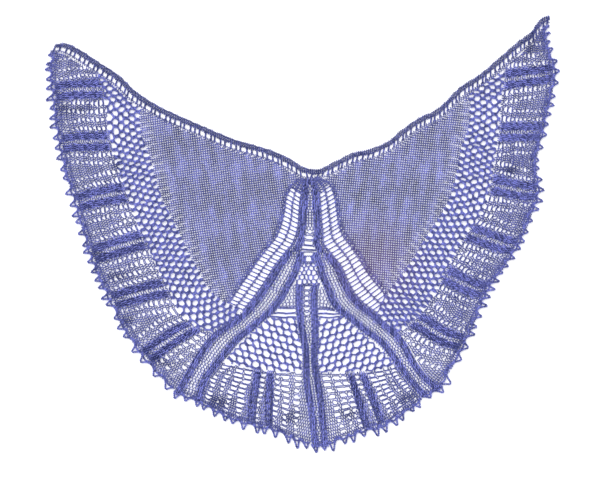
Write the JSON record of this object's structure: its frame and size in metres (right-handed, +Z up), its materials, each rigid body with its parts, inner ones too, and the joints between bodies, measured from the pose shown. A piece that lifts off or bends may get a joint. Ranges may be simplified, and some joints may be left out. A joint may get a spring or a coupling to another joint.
{
  "type": "triangle shawl",
  "caption": "Hand-knitted lace shawl laid flat: plain knit wings, net bands, a ribbed spine with diagonals, and a fan border with picot points.",
  "frame": {"origin": "middle of the shawl's outline, on the surface it lies on", "axes": "+X to the right along the span of the wings, +Y away from the bottom hem towards the neck edge, +Z up out of the face that shows"},
  "size_m": [1.136, 0.9636, 0.0069],
  "materials": {
    "plain_knit": "soft matt wool yarn, plain knit",
    "open_lace": "soft matt wool yarn, open lace",
    "ribbed_lace": "soft matt wool yarn, dense raised ribs",
    "garter_band": "soft matt wool yarn, garter band"
  },
  "bodies": {
    "root": {"top_band_left_1": "garter_band", "top_band_left_2": "garter_band", "top_band_left_3": "garter_band", "wing_left": "plain_knit", "side_net_left": "open_lace", "border_left_1": "ribbed_lace", "border_left_2": "ribbed_lace", "border_left_3": "ribbed_lace", "border_left_4": "ribbed_lace", "border_left_5": "ribbed_lace", "border_left_6": "ribbed_lace", "double_ladder_left": "open_lace", "diagonal_ribs_left": "ribbed_lace", "fan_left": "open_lace", "open_net_left": "open_lace", "bottom_border_left": "ribbed_lace", "top_band_right_1": "garter_band", "top_band_right_2": "garter_band", "top_band_right_3": "garter_band", "wing_right": "plain_knit", "side_net_right": "open_lace", "border_right_1": "ribbed_lace", "border_right_2": "ribbed_lace", "border_right_3": "ribbed_lace", "border_right_4": "ribbed_lace", "border_right_5": "ribbed_lace", "border_right_6": "ribbed_lace", "double_ladder_right": "open_lace", "diagonal_ribs_right": "ribbed_lace", "fan_right": "open_lace", "open_net_right": "open_lace", "bottom_border_right": "ribbed_lace", "spine": "ribbed_lace", "centre_ribs": "ribbed_lace"}
  },
  "joints": []
}
